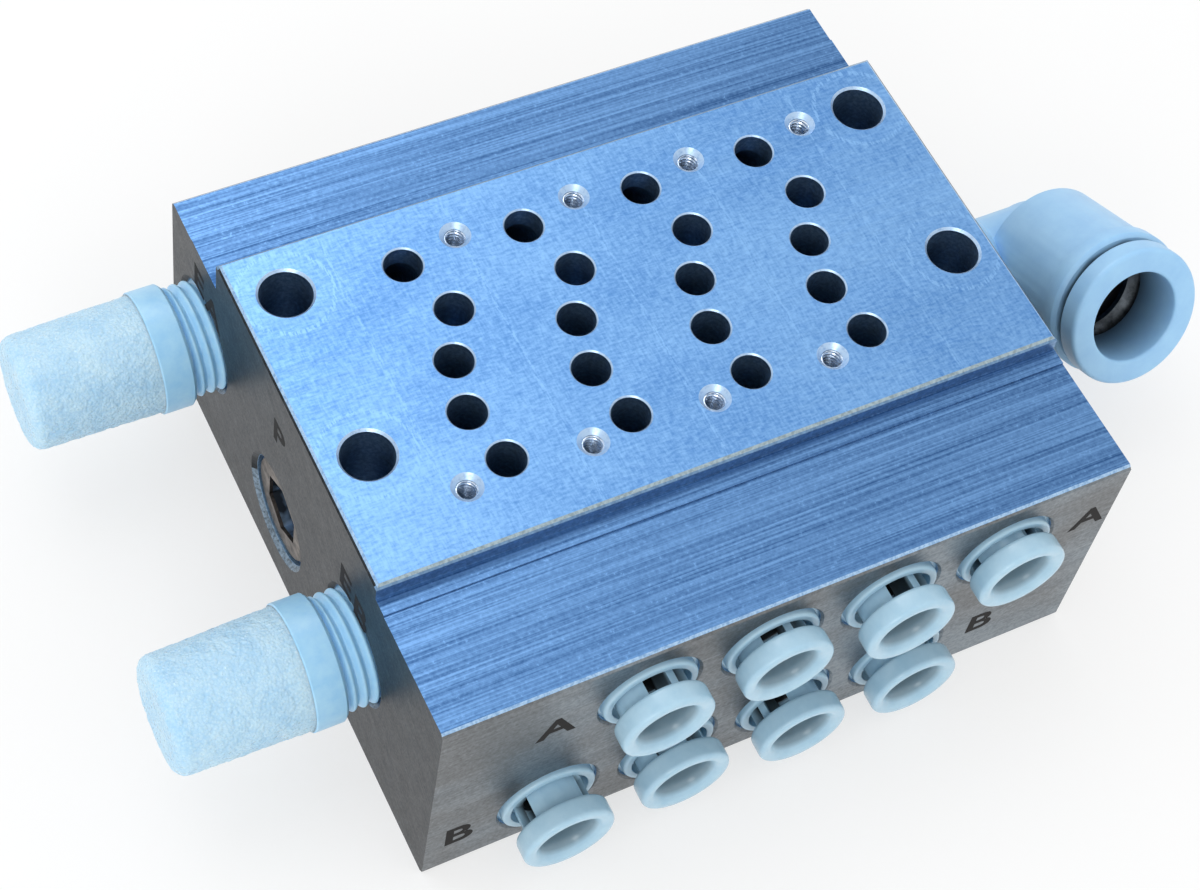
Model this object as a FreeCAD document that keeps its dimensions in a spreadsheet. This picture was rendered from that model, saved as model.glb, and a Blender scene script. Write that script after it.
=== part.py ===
import FreeCAD, Part
import math
import os
import re
import Sketcher
from FreeCAD import Placement, Rotation, Vector

# Air manifold block with four valve stations on its top pad.
# X runs along the block, from the two silencers (-X) to the swivel elbow (+X).
# The eight tube fittings open at the front, towards -Y, and +Z is up.
# The origin is the centre of the block's flat underside. All sizes are in millimetres.

# Driving sizes of the aluminium block and its drillings
BLOCK_SIZES = {
    "blockLength": 59.0,
    "frontShoulderWidth": 11.9,
    "padWidth": 31.0,
    "backShoulderWidth": 9.4,
    "blockHeight": 25.5,
    "frontShoulderDrop": 1.5,
    "backShoulderDrop": 3.4,
    "frontLedgeWidth": 1.5,
    "backLedgeWidth": 5.2,
    "ledgeStep": 0.15,
    "edgeChamfer": 0.35,
    "stationPitch": 10.5,
    "firstStation": 13.45,
    "passageRadius": 1.58,
    "passageChamfer": 0.12,
    "supplyY": 15.95,
    "workAShift": 2.0,
    "workAY": 20.35,
    "workBShift": 1.0,
    "workBY": 11.35,
    "exhaustAY": 25.6,
    "exhaustBY": 6.45,
    "exhaustDepth": 4.0,
    "screwRadius": 0.87,
    "screwChamfer": 0.42,
    "screwDepth": 7.5,
    "frontScrewShift": 3.8,
    "frontScrewY": 5.3,
    "backScrewShift": 5.0,
    "backScrewY": 26.75,
    "mountRadius": 2.15,
    "mountChamfer": 0.2,
    "mountInset": 3.95,
    "mountSpacingX": 51.5,
    "mountSpacingY": 15.8,
    "mountFrontY": 10.65,
    "portRadius": 4.75,
    "portChamfer": 0.4,
    "portDepth": 9.0,
    "galleryRadius": 3.9,
    "supplyGalleryY": 18.0,
    "supplyGalleryHeight": 8.2,
    "exhaustGalleryHeight": 12.2,
    "exhaustBGalleryY": 2.7,
    "exhaustAGalleryY": 33.6,
    "boreRadius": 4.25,
    "boreDepth": 9.5,
    "boreChamfer": 0.2,
    "boreAShift": 4.0,
    "boreAHeight": 17.6,
    "boreBShift": 3.1,
    "boreBHeight": 5.3,
    "linkRadius": 1.3,
    "linkOverrun": 0.8,
    "linkAShift": 3.45,
    "linkAHeight": 18.1,
    "linkBShift": 2.05,
    "linkBHeight": 4.7,
}

# Driving sizes of the eight push-in fittings for 4 mm tube.
# Heights along a fitting are counted outwards from the block's front face.
FITTING_SIZES = {
    "tubeRadius": 2.0,
    "guideLipRadius": 3.98,
    "guideLipOut": 0.3,
    "guideLipDepth": 0.5,
    "guideLipRound": 0.35,
    "guideMouthRadius": 3.3,
    "guideMouthDepth": 0.7,
    "guideThroatDepth": 1.7,
    "guideCavityRadius": 3.5,
    "guideDepth": 6.9,
    "neckRadius": 2.88,
    "neckClearance": 0.12,
    "neckBoreRadius": 2.12,
    "headRadius": 4.0,
    "headLength": 1.85,
    "headFrontChamfer": 0.4,
    "headBackChamfer": 0.15,
    "funnelRadius": 2.9,
    "funnelDepth": 1.0,
    "barbRadius": 3.3,
    "barbLength": 0.7,
    "barbStopGap": 0.05,
    "fullyOut": 2.25,
    "windowWidth": 1.9,
    "windowLength": 2.3,
    "windowTurn": 26.5,
    "colletDepth": 4.4,
    "colletLength": 1.1,
    "colletWall": 0.45,
    "colletSlot": 0.5,
    "colletClearance": 0.1,
    "sealThickness": 2.0,
    "sealLip": 0.6,
}

# How far each release ring's head stands out of the block, and how its windows are turned
RING_STANDS = {
    "ringOutA1": 1.5,
    "ringOutA2": 1.0,
    "ringOutA3": 1.55,
    "ringOutA4": 0.95,
    "ringOutB1": 2.2,
    "ringOutB2": 1.45,
    "ringOutB3": 1.5,
    "ringOutB4": 1.35,
    "ringTurnA1": 67.5,
    "ringTurnA2": 78.5,
    "ringTurnA3": 69.0,
    "ringTurnA4": 31.0,
    "ringTurnB1": 184.0,
    "ringTurnB2": 84.0,
    "ringTurnB3": 150.0,
    "ringTurnB4": 62.0,
}

# Driving sizes of the elbow for 8 mm tube, the silencers and the port plugs
ELBOW_SIZES = {
    "elbowReach": 13.8,
    "elbowSwivel": 26.9,
    "studThreadLength": 7.0,
    "studCollarGap": 1.0,
    "studCollarRadius": 4.55,
    "hexWidth": 12.0,
    "hexLength": 4.0,
    "hexChamfer": 0.5,
    "spigotRadius": 3.1,
    "spigotLength": 4.0,
    "spigotClearance": 0.05,
    "studBoreRadius": 2.0,
    "studTipChamfer": 0.5,
    "grooveRadius": 2.5,
    "grooveWidth": 1.0,
    "grooveStart": 1.8,
    "stemSealSqueeze": 0.05,
    "elbowHexGap": 0.3,
    "stemRadius": 5.1,
    "stemLength": 2.6,
    "stemChamfer": 0.5,
    "cornerRadius": 3.9,
    "cornerSwell": 0.1,
    "flowRadius": 2.2,
    "barrelRadius": 6.3,
    "barrelStart": 1.4,
    "barrelBackChamfer": 0.5,
    "rimRadius": 6.6,
    "rimStart": 10.7,
    "rimEnd": 12.6,
    "rimChamfer": 0.35,
    "bigTubeRadius": 4.0,
    "bigTubeClearance": 0.1,
    "bigTubeStop": 3.0,
    "cageStart": 5.2,
    "cageRadius": 5.55,
    "bigSealLength": 1.9,
    "bigSealLip": 0.4,
    "bigColletGap": 1.1,
    "bigColletLength": 1.3,
    "bigColletWall": 0.5,
    "bigColletSlot": 0.8,
    "bigGuideThroat": 1.5,
    "bigGuideCavity": 5.25,
    "bigNeckRadius": 4.75,
    "bigNeckClearance": 0.12,
    "bigNeckBore": 4.17,
    "bigHeadRadius": 6.4,
    "bigHeadLength": 2.0,
    "bigHeadFront": 15.3,
    "bigHeadFrontChamfer": 0.6,
    "bigHeadBackChamfer": 0.3,
    "bigBarbRadius": 5.05,
    "bigBarbLength": 0.5,
    "bigFullyOut": 0.3,
}

SILENCER_SIZES = {
    "silencerThreadLength": 6.5,
    "silencerThreadOut": 2.5,
    "ridgeDepth": 0.4,
    "ridgePitch": 0.9,
    "silencerRingRadius": 5.2,
    "silencerRingLength": 2.7,
    "silencerRingChamfer": 0.3,
    "silencerBoreRadius": 3.0,
    "sleeveRadius": 3.6,
    "sleeveLength": 2.0,
    "elementRadius": 5.1,
    "elementLength": 10.9,
    "elementTaper": 0.2,
    "elementRound": 1.2,
    "elementEndWall": 2.2,
    "plugLength": 6.0,
    "plugSunk": 0.5,
    "plugSocketWidth": 5.0,
    "plugSocketDepth": 3.6,
    "plugChamfer": 0.4,
}

doc = FreeCAD.newDocument("air_manifold_block")
sheet = doc.addObject("Spreadsheet::Sheet", "Sizes")
values = {}
for group in (BLOCK_SIZES, FITTING_SIZES, RING_STANDS, ELBOW_SIZES, SILENCER_SIZES):
    values.update(group)
for row, (alias, value) in enumerate(values.items(), start=1):
    sheet.set("A%d" % row, str(value))
    sheet.setAlias("A%d" % row, alias)
doc.recompute()

ALONG_Y_OUT = Rotation(Vector(1, 0, 0), 90)
ALONG_Y_IN = Rotation(Vector(1, 0, 0), -90)
ALONG_X_OUT = Rotation(Vector(0, 1, 0), 90)
ALONG_X_BACK = Rotation(Vector(0, 1, 0), -90)
DOWNWARD = Rotation(Vector(1, 0, 0), 180)
UPRIGHT = Rotation()

# Places that several pieces share, written from the driving sizes
STATION_COUNT = 4
LEFT_X = "-blockLength / 2"
RIGHT_X = "blockLength / 2"
BACK_Y = "(frontShoulderWidth + padWidth + backShoulderWidth) / 2"
FRONT_Y = "-" + BACK_Y
PAD_FRONT_Y = "(frontShoulderWidth - padWidth - backShoulderWidth) / 2"
PAD_BACK_Y = "(frontShoulderWidth + padWidth - backShoulderWidth) / 2"


def station_x(number, shift="0"):
    return "%s + firstStation + %d * stationPitch + (%s)" % (LEFT_X, number - 1, shift)


def pad_y(distance):
    return "%s + %s" % (PAD_FRONT_Y, distance)


def bound(text):
    # Every alias in the text is read from the sheet; a word before a bracket is a function
    return re.sub(r"[A-Za-z]\w*\b(?!\()", lambda word: "Sizes." + word.group(), str(text))


def bind(item, target, text):
    item.setExpression(target, bound(text))


def locate(item, x, y, z, rotation=UPRIGHT):
    item.Placement = Placement(Vector(), rotation)
    for letter, text in zip("xyz", (x, y, z)):
        bind(item, "Placement.Base." + letter, text)


def origin_plane(body, role):
    for feature in body.Origin.OriginFeatures:
        if feature.Role == role:
            return feature


def outline(body, role, points):
    # A closed outline through the points, each held by its own two bound distances
    sketch = body.newObject("Sketcher::SketchObject", body.Name + "_outline")
    sketch.AttachmentSupport = [(origin_plane(body, role), "")]
    sketch.MapMode = "FlatFace"
    count = len(points)
    corners = [Vector(math.cos(2 * math.pi * i / count), math.sin(2 * math.pi * i / count), 0)
               for i in range(count)]
    for i in range(count):
        sketch.addGeometry(Part.LineSegment(corners[i], corners[(i + 1) % count]), False)
    for i in range(count):
        sketch.addConstraint(Sketcher.Constraint("Coincident", i, 2, (i + 1) % count, 1))
    for i, (across, up) in enumerate(points):
        for kind, text, axis in (("DistanceX", across, -2), ("DistanceY", up, -1)):
            if text == "0":
                sketch.addConstraint(Sketcher.Constraint("PointOnObject", i, 1, axis))
            else:
                index = sketch.addConstraint(Sketcher.Constraint(kind, -1, 1, i, 1, 1.0))
                bind(sketch, "Constraints[%d]" % index, text)
    return sketch


def turned(name, points):
    # A turned piece: the radii and heights of its half section, spun about local Z
    body = doc.addObject("PartDesign::Body", name)
    sketch = outline(body, "XZ_Plane", points)
    spin = body.newObject("PartDesign::Revolution", name + "_spin")
    spin.Profile = sketch
    spin.ReferenceAxis = (sketch, ["V_Axis"])
    spin.Angle = 360
    doc.recompute()
    return body


def cross_slot(body, width, low, high, turn):
    # A parallel slot right across a turned piece, which opens two facing windows in its wall
    half = "(%s) / 2" % width
    sketch = outline(body, "XZ_Plane", [("-" + half, low), (half, low), (half, high), ("-" + half, high)])
    sketch.AttachmentOffset = Placement(Vector(), Rotation(Vector(0, 1, 0), 1))
    bind(sketch, "AttachmentOffset.Rotation.Angle", turn)
    slot = body.newObject("PartDesign::Pocket", body.Name + "_slot")
    slot.Profile = sketch
    slot.Type = "ThroughAll"
    slot.Midplane = True
    doc.recompute()


def cylinder(name, radius, length):
    item = doc.addObject("Part::Cylinder", name)
    bind(item, "Radius", radius)
    bind(item, "Height", length)
    return item


def cone(name, low_radius, high_radius, length):
    item = doc.addObject("Part::Cone", name)
    bind(item, "Radius1", low_radius)
    bind(item, "Radius2", high_radius)
    bind(item, "Height", length)
    return item


def ball(name, radius):
    # The poles are turned away from the two tubes that meet at the ball
    item = doc.addObject("Part::Sphere", name)
    item.Placement = Placement(Vector(), Rotation(Vector(0, 1, 0), 45))
    bind(item, "Radius", radius)
    return item


def hexagon(name, width, length):
    # The width is measured across the flats
    item = doc.addObject("Part::Prism", name)
    item.Polygon = 6
    bind(item, "Circumradius", "(%s) / %.6f" % (width, math.sqrt(3)))
    bind(item, "Height", length)
    return item


def fused(name, items):
    item = doc.addObject("Part::MultiFuse", name)
    item.Shapes = items
    return item


def cut(name, base, tool):
    item = doc.addObject("Part::Cut", name)
    item.Base = base
    item.Tool = tool
    return item


def drilling(name, place, rotation, radius, depth, chamfer=None):
    # One drilled hole as its tools: the drill and, where the mouth is chamfered, a countersink
    tools = [cylinder(name, radius, depth)]
    if chamfer:
        tools.append(cone(name + "_mouth", "%s + %s" % (radius, chamfer), radius, chamfer))
    for tool in tools:
        locate(tool, *place, rotation=rotation)
    return tools


def block_bar():
    # The bar is one extruded section: a raised pad between two machined shoulders
    body = doc.addObject("PartDesign::Body", "block_bar")
    front_ledge_z = "blockHeight - frontShoulderDrop"
    front_top_z = "blockHeight - frontShoulderDrop - ledgeStep"
    back_ledge_z = "blockHeight - backShoulderDrop"
    back_top_z = "blockHeight - backShoulderDrop - ledgeStep"
    front_ledge_y = PAD_FRONT_Y + " - frontLedgeWidth"
    back_ledge_y = PAD_BACK_Y + " + backLedgeWidth"
    sketch = outline(body, "YZ_Plane", [
        (FRONT_Y + " + edgeChamfer", "0"),
        (BACK_Y + " - edgeChamfer", "0"),
        (BACK_Y, "edgeChamfer"),
        (BACK_Y, back_top_z + " - edgeChamfer"),
        (BACK_Y + " - edgeChamfer", back_top_z),
        (back_ledge_y, back_top_z),
        (back_ledge_y, back_ledge_z),
        (PAD_BACK_Y, back_ledge_z),
        (PAD_BACK_Y, "blockHeight"),
        (PAD_FRONT_Y, "blockHeight"),
        (PAD_FRONT_Y, front_ledge_z),
        (front_ledge_y, front_ledge_z),
        (front_ledge_y, front_top_z),
        (FRONT_Y + " + edgeChamfer", front_top_z),
        (FRONT_Y, front_top_z + " - edgeChamfer"),
        (FRONT_Y, "edgeChamfer"),
    ])
    bar = body.newObject("PartDesign::Pad", "bar")
    bar.Profile = sketch
    bar.Midplane = True
    bind(bar, "Length", "blockLength")
    doc.recompute()
    half_length = values["blockLength"] / 2
    pad_ends = [
        "Edge%d" % (i + 1) for i, edge in enumerate(bar.Shape.Edges)
        if all(abs(abs(corner.X) - half_length) < 1e-6 and abs(corner.Z - values["blockHeight"]) < 1e-6
               for corner in edge.Vertexes)
    ]
    chamfer = body.newObject("PartDesign::Chamfer", "pad_end_chamfers")
    chamfer.Base = (bar, pad_ends)
    bind(chamfer, "Size", "edgeChamfer")
    body.Tip = chamfer
    doc.recompute()
    return body


def station_drillings(number):
    # Five passages and two screw holes on the pad, and the two bores and links at the front
    top = "blockHeight"
    tools = []
    passages = (
        ("supply", "0", "supplyY", "blockHeight - supplyGalleryHeight"),
        ("work_a", "workAShift", "workAY", "blockHeight - linkAHeight + linkOverrun"),
        ("work_b", "-workBShift", "workBY", "blockHeight - linkBHeight + linkOverrun"),
        ("exhaust_a", "0", "exhaustAY", "exhaustDepth"),
        ("exhaust_b", "0", "exhaustBY", "blockHeight - exhaustGalleryHeight"),
    )
    for name, shift, y, depth in passages:
        place = (station_x(number, shift), pad_y(y), top)
        tools += drilling("%s_%d" % (name, number), place, DOWNWARD, "passageRadius", depth, "passageChamfer")
    # The back exhaust passage turns outwards and is drilled on to the middle of its gallery beyond the pad
    bend_z = top + " - exhaustDepth + passageRadius"
    run = "exhaustAY - exhaustAGalleryY; exhaustGalleryHeight - (%s)" % bend_z
    slant = cylinder("exhaust_slant_%d" % number, "passageRadius", "hypot(%s)" % run)
    locate(slant, station_x(number), pad_y("exhaustAY"), bend_z, DOWNWARD)
    bind(slant, "Placement.Rotation.Angle", "atan2(%s)" % run)
    tools.append(slant)
    for name, shift, y in (("front", "-frontScrewShift", "frontScrewY"), ("back", "backScrewShift", "backScrewY")):
        place = (station_x(number, shift), pad_y(y), top)
        tools += drilling("%s_screw_%d" % (name, number), place, DOWNWARD, "screwRadius", "screwDepth",
                          "screwChamfer")
    for row, side in (("A", ""), ("B", "-")):
        bore_place = (station_x(number, side + "bore%sShift" % row), FRONT_Y, "bore%sHeight" % row)
        tools += drilling("bore_%s_%d" % (row, number), bore_place, ALONG_Y_IN, "boreRadius", "boreDepth",
                          "boreChamfer")
        link_place = (station_x(number, side + "link%sShift" % row), FRONT_Y, "link%sHeight" % row)
        tools += drilling("link_%s_%d" % (row, number), link_place, ALONG_Y_IN, "linkRadius",
                          "frontShoulderWidth + work%sY" % row)
    return tools


def gallery_drillings():
    # Three galleries run from end to end, with a tapped port at each end
    galleries = (
        ("supply", "supplyGalleryY", "supplyGalleryHeight"),
        ("exhaust_a", "exhaustAGalleryY", "exhaustGalleryHeight"),
        ("exhaust_b", "exhaustBGalleryY", "exhaustGalleryHeight"),
    )
    tools = []
    for name, y, height in galleries:
        ends = (("left", LEFT_X, ALONG_X_OUT), ("right", RIGHT_X, ALONG_X_BACK))
        tools += drilling(name + "_gallery", (LEFT_X, pad_y(y), height), ALONG_X_OUT, "galleryRadius", "blockLength")
        for end, x, rotation in ends:
            place = (x, pad_y(y), height)
            tools += drilling("%s_port_%s" % (name, end), place, rotation, "portRadius", "portDepth",
                              "portChamfer")
    return tools


def mounting_holes():
    tools = []
    for i in range(2):
        for j in range(2):
            x = "%s + mountInset + %d * mountSpacingX" % (LEFT_X, i)
            y = pad_y("mountFrontY + %d * mountSpacingY" % j)
            tools += drilling("mounting_hole_%d%d" % (i, j), (x, y, "blockHeight"), DOWNWARD, "mountRadius",
                              "blockHeight", "mountChamfer")
    return tools


def manifold_block():
    tools = gallery_drillings() + mounting_holes()
    for number in range(1, STATION_COUNT + 1):
        tools += station_drillings(number)
    return cut("manifold_block", block_bar(), fused("block_drillings", tools))


def fitting_guide(name):
    # Pressed into its bore: a lip at the mouth, a throat for the release ring, a cavity behind it
    throat = "neckRadius + neckClearance"
    return turned(name, [
        ("guideCavityRadius", "-guideDepth"),
        ("boreRadius", "-guideDepth"),
        ("boreRadius", "-guideLipDepth"),
        ("guideLipRadius", "-guideLipDepth"),
        ("guideLipRadius", "guideLipOut - guideLipRound"),
        ("guideLipRadius - guideLipRound", "guideLipOut"),
        ("guideMouthRadius", "guideLipOut"),
        ("guideMouthRadius", "-guideMouthDepth"),
        (throat, "-guideMouthDepth"),
        (throat, "-guideThroatDepth"),
        ("guideCavityRadius", "-guideThroatDepth"),
    ])


def fitting_release_ring(name, turn):
    # Heights run from the back of the head; the barb behind the throat keeps the ring captive.
    # Two cross slots open four windows in the neck, two on each side of the line at the ring's turn.
    shoulder = "fullyOut + guideThroatDepth + barbStopGap"
    ring = turned(name, [
        ("neckBoreRadius", "-(%s) - barbLength" % shoulder),
        ("neckRadius", "-(%s) - barbLength" % shoulder),
        ("barbRadius", "-(%s)" % shoulder),
        ("neckRadius", "-(%s)" % shoulder),
        ("neckRadius", "0"),
        ("headRadius - headBackChamfer", "0"),
        ("headRadius", "headBackChamfer"),
        ("headRadius", "headLength - headFrontChamfer"),
        ("headRadius - headFrontChamfer", "headLength"),
        ("funnelRadius", "headLength"),
        ("neckBoreRadius", "headLength - funnelDepth"),
    ])
    for side in "+-":
        cross_slot(ring, "windowWidth", "-windowLength", "0", "%s %s windowTurn - 90" % (turn, side))
    return ring


def grip_collet(name, rim_radius, tube_radius, low, length, wall, slot):
    # A dished metal ring whose slotted inner edge bites the tube; heights run from its outer face
    collet = turned(name, [
        (rim_radius, low),
        (rim_radius, "%s - %s" % (low, wall)),
        (tube_radius, "%s - %s" % (low, length)),
        (tube_radius, "%s - %s + %s" % (low, length, wall)),
    ])
    for turn in (0, 90):
        cross_slot(collet, slot, "%s - %s - %s" % (low, length, wall), "%s - %s" % (low, wall), turn)
    return collet


def tube_seal(name, outer_radius, tube_radius, high, length, lip):
    # A rubber ring with a slanted lip that rests on the tube
    return turned(name, [
        ("%s + %s" % (tube_radius, lip), high),
        (outer_radius, high),
        (outer_radius, "%s - %s" % (high, length)),
        ("%s + %s / 2" % (tube_radius, lip), "%s - %s" % (high, length)),
        (tube_radius, "%s - %s / 2" % (high, length)),
    ])


def push_in_fitting(row, number):
    mark = "%s%d" % (row, number)
    side = "" if row == "A" else "-"
    x = station_x(number, side + "bore%sShift" % row)
    z = "bore%sHeight" % row
    name = "%s_" + mark.lower()
    still = [
        fitting_guide(name % "guide"),
        grip_collet(name % "collet", "guideCavityRadius", "tubeRadius + colletClearance", "-colletDepth",
                    "colletLength", "colletWall", "colletSlot"),
        tube_seal(name % "tube_seal", "boreRadius", "tubeRadius", "-guideDepth", "sealThickness", "sealLip"),
    ]
    for piece in still:
        locate(piece, x, FRONT_Y, z, ALONG_Y_OUT)
    ring = fitting_release_ring(name % "release_ring", "ringTurn" + mark)
    locate(ring, x, "%s - ringOut%s" % (FRONT_Y, mark), z, ALONG_Y_OUT)
    return still + [ring]


def elbow_stud():
    # A threaded stud with a hexagon, a bored spigot for the elbow and a groove for its seal
    hex_start = "studCollarGap"
    hex_end = "studCollarGap + hexLength"
    spigot_end = hex_end + " + elbowHexGap + spigotLength"
    groove = hex_end + " + grooveStart"
    shank = turned("stud_shank", [
        ("studBoreRadius", "-studThreadLength"),
        ("portRadius - studTipChamfer", "-studThreadLength"),
        ("portRadius", "-studThreadLength + studTipChamfer"),
        ("portRadius", "0"),
        ("studCollarRadius", "0"),
        ("studCollarRadius", hex_end),
        ("spigotRadius", hex_end),
        ("spigotRadius", groove),
        ("grooveRadius", groove),
        ("grooveRadius", groove + " + grooveWidth"),
        ("spigotRadius", groove + " + grooveWidth"),
        ("spigotRadius", spigot_end),
        ("studBoreRadius", spigot_end),
    ])
    prism = hexagon("stud_prism", "hexWidth", "hexLength")
    locate(prism, "0", "0", hex_start)
    corner_radius = "hexWidth / %.6f" % math.sqrt(3)
    turned_limit = turned("stud_hexagon_limit", [
        ("studCollarRadius", hex_start),
        (corner_radius + " - hexChamfer", hex_start),
        (corner_radius, hex_start + " + hexChamfer / 2"),
        (corner_radius, hex_end + " - hexChamfer / 2"),
        (corner_radius + " - hexChamfer", hex_end),
        ("studCollarRadius", hex_end),
    ])
    nut = doc.addObject("Part::Common", "stud_hexagon")
    nut.Base = prism
    nut.Tool = turned_limit
    stud = fused("elbow_stud", [shank, nut])
    locate(stud, RIGHT_X, pad_y("supplyGalleryY"), "supplyGalleryHeight", ALONG_X_OUT)
    return stud


def elbow_stem_seal():
    # The ring seal fills its groove on the spigot and only just clears the turning elbow
    seal = doc.addObject("Part::Torus", "elbow_stem_seal")
    depth = "(spigotRadius + spigotClearance - stemSealSqueeze - grooveRadius) / 2"
    bind(seal, "Radius2", depth)
    bind(seal, "Radius1", "grooveRadius + " + depth)
    along = RIGHT_X + " + studCollarGap + hexLength + grooveStart + grooveWidth / 2"
    locate(seal, along, pad_y("supplyGalleryY"), "supplyGalleryHeight", ALONG_X_OUT)
    return seal


def elbow_place(item):
    # Outlet pieces share the corner of the elbow, and the swivel lifts their local Z off -Y
    locate(item, RIGHT_X + " + elbowReach", pad_y("supplyGalleryY"), "supplyGalleryHeight", ALONG_Y_OUT)
    bind(item, "Placement.Rotation.Angle", "90 - elbowSwivel")
    return item


def elbow_body():
    # The stem runs back along -X to the stud; the barrel holds the tube fitting
    stem_face = "elbowReach - studCollarGap - hexLength - elbowHexGap"
    barrel = turned("elbow_barrel", [
        ("0", "barrelStart"),
        ("barrelRadius - barrelBackChamfer", "barrelStart"),
        ("barrelRadius", "barrelStart + barrelBackChamfer"),
        ("barrelRadius", "rimStart"),
        ("rimRadius", "rimStart + rimRadius - barrelRadius"),
        ("rimRadius", "rimEnd - rimChamfer"),
        ("rimRadius - rimChamfer", "rimEnd"),
        ("0", "rimEnd"),
    ])
    neck = cylinder("elbow_neck", "cornerRadius", "barrelStart + barrelBackChamfer")
    corner = ball("elbow_corner", "cornerRadius + cornerSwell")
    arm = cylinder("elbow_arm", "cornerRadius", stem_face)
    locate(arm, "0", "0", "0", ALONG_X_BACK)
    stem = turned("elbow_stem", [
        ("0", "0"),
        ("stemRadius", "0"),
        ("stemRadius", "stemLength - stemChamfer"),
        ("stemRadius - stemChamfer", "stemLength"),
        ("0", "stemLength"),
    ])
    locate(stem, "-(%s)" % stem_face, "0", "0", ALONG_X_OUT)
    outside = fused("elbow_outside", [barrel, neck, corner, arm, stem])
    socket = cylinder("elbow_stem_bore", "spigotRadius + spigotClearance", "spigotLength + elbowHexGap")
    locate(socket, "-(%s)" % stem_face, "0", "0", ALONG_X_OUT)
    cross_flow = cylinder("elbow_cross_flow", "flowRadius", "%s - spigotLength" % stem_face)
    locate(cross_flow, "0", "0", "0", ALONG_X_BACK)
    bend = ball("elbow_bend", "flowRadius + cornerSwell")
    inside = turned("elbow_inside", [
        ("0", "0"),
        ("flowRadius", "0"),
        ("flowRadius", "bigTubeStop"),
        ("bigTubeRadius + bigTubeClearance", "bigTubeStop"),
        ("bigTubeRadius + bigTubeClearance", "cageStart"),
        ("cageRadius", "cageStart"),
        ("cageRadius", "rimEnd"),
        ("0", "rimEnd"),
    ])
    hollow = fused("elbow_hollow", [socket, cross_flow, bend, inside])
    return elbow_place(cut("elbow_body", outside, hollow))


def elbow_guide():
    low = "cageStart + bigSealLength"
    throat = "bigNeckRadius + bigNeckClearance"
    return elbow_place(turned("elbow_guide", [
        ("bigGuideCavity", low),
        ("cageRadius", low),
        ("cageRadius", "rimEnd"),
        (throat, "rimEnd"),
        (throat, "rimEnd - bigGuideThroat"),
        ("bigGuideCavity", "rimEnd - bigGuideThroat"),
    ]))


def elbow_release_ring():
    back = "bigHeadFront - bigHeadLength"
    shoulder = "rimEnd - bigGuideThroat - bigFullyOut"
    return elbow_place(turned("elbow_release_ring", [
        ("bigNeckBore", shoulder + " - bigBarbLength"),
        ("bigNeckRadius", shoulder + " - bigBarbLength"),
        ("bigBarbRadius", shoulder),
        ("bigNeckRadius", shoulder),
        ("bigNeckRadius", back),
        ("bigHeadRadius - bigHeadBackChamfer", back),
        ("bigHeadRadius", back + " + bigHeadBackChamfer"),
        ("bigHeadRadius", "bigHeadFront - bigHeadFrontChamfer"),
        ("bigHeadRadius - bigHeadFrontChamfer", "bigHeadFront"),
        ("bigNeckBore", "bigHeadFront"),
    ]))


def elbow_inner_ring():
    # The grip collet and the tube seal of the outlet
    collet_face = "cageStart + bigSealLength + bigColletGap + bigColletLength"
    collet = grip_collet("elbow_collet", "bigGuideCavity", "bigTubeRadius + bigTubeClearance", collet_face,
                         "bigColletLength", "bigColletWall", "bigColletSlot")
    seal = tube_seal("elbow_tube_seal", "cageRadius", "bigTubeRadius", "cageStart + bigSealLength",
                     "bigSealLength", "bigSealLip")
    return [elbow_place(collet), elbow_place(seal)]


def silencer(mark):
    # A moulded threaded body and the porous element that is set on its sleeve
    ring_start = "silencerThreadOut"
    ring_end = "silencerThreadOut + silencerRingLength"
    root = "portRadius - ridgeDepth"
    ridge_count = int(values["silencerThreadOut"] / values["ridgePitch"])
    thread = []
    for i in range(ridge_count):
        thread += [(root, "%d * ridgePitch + ridgePitch * 0.25" % i),
                   ("portRadius", "%d * ridgePitch + ridgePitch * 0.6" % i),
                   ("portRadius", "%d * ridgePitch + ridgePitch * 0.75" % i),
                   (root, "%d * ridgePitch + ridgePitch" % i)]
    body = turned("silencer_body_" + mark, [
        ("silencerBoreRadius", "-silencerThreadLength"),
        ("portRadius", "-silencerThreadLength"),
        ("portRadius", "0"),
    ] + thread + [
        (root, ring_start),
        ("silencerRingRadius - silencerRingChamfer", ring_start),
        ("silencerRingRadius", ring_start + " + silencerRingChamfer"),
        ("silencerRingRadius", ring_end),
        ("sleeveRadius", ring_end),
        ("sleeveRadius", ring_end + " + sleeveLength"),
        ("silencerBoreRadius", ring_end + " + sleeveLength"),
    ])
    end = ring_end + " + elementLength"
    element = turned("silencer_element_" + mark, [
        ("sleeveRadius", ring_end),
        ("elementRadius", ring_end),
        ("elementRadius - elementTaper", end),
        ("0", end),
        ("0", end + " - elementEndWall"),
        ("sleeveRadius", end + " - elementEndWall"),
    ])
    spun = element.Tip
    tip_height = (values["silencerThreadOut"] + values["silencerRingLength"] + values["elementLength"])
    rims = [
        "Edge%d" % (i + 1) for i, edge in enumerate(spun.Shape.Edges)
        if all(abs(corner.Z - tip_height) < 1e-6 for corner in edge.Vertexes)
        and edge.BoundBox.XLength > values["elementRadius"]
    ]
    rounding = element.newObject("PartDesign::Fillet", "element_round_" + mark)
    rounding.Base = (spun, rims)
    bind(rounding, "Radius", "elementRound")
    element.Tip = rounding
    gallery = "exhaust%sGalleryY" % mark[-1].upper()
    for piece in (body, element):
        locate(piece, LEFT_X, pad_y(gallery), "exhaustGalleryHeight", ALONG_X_BACK)
    return [body, element]


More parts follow.
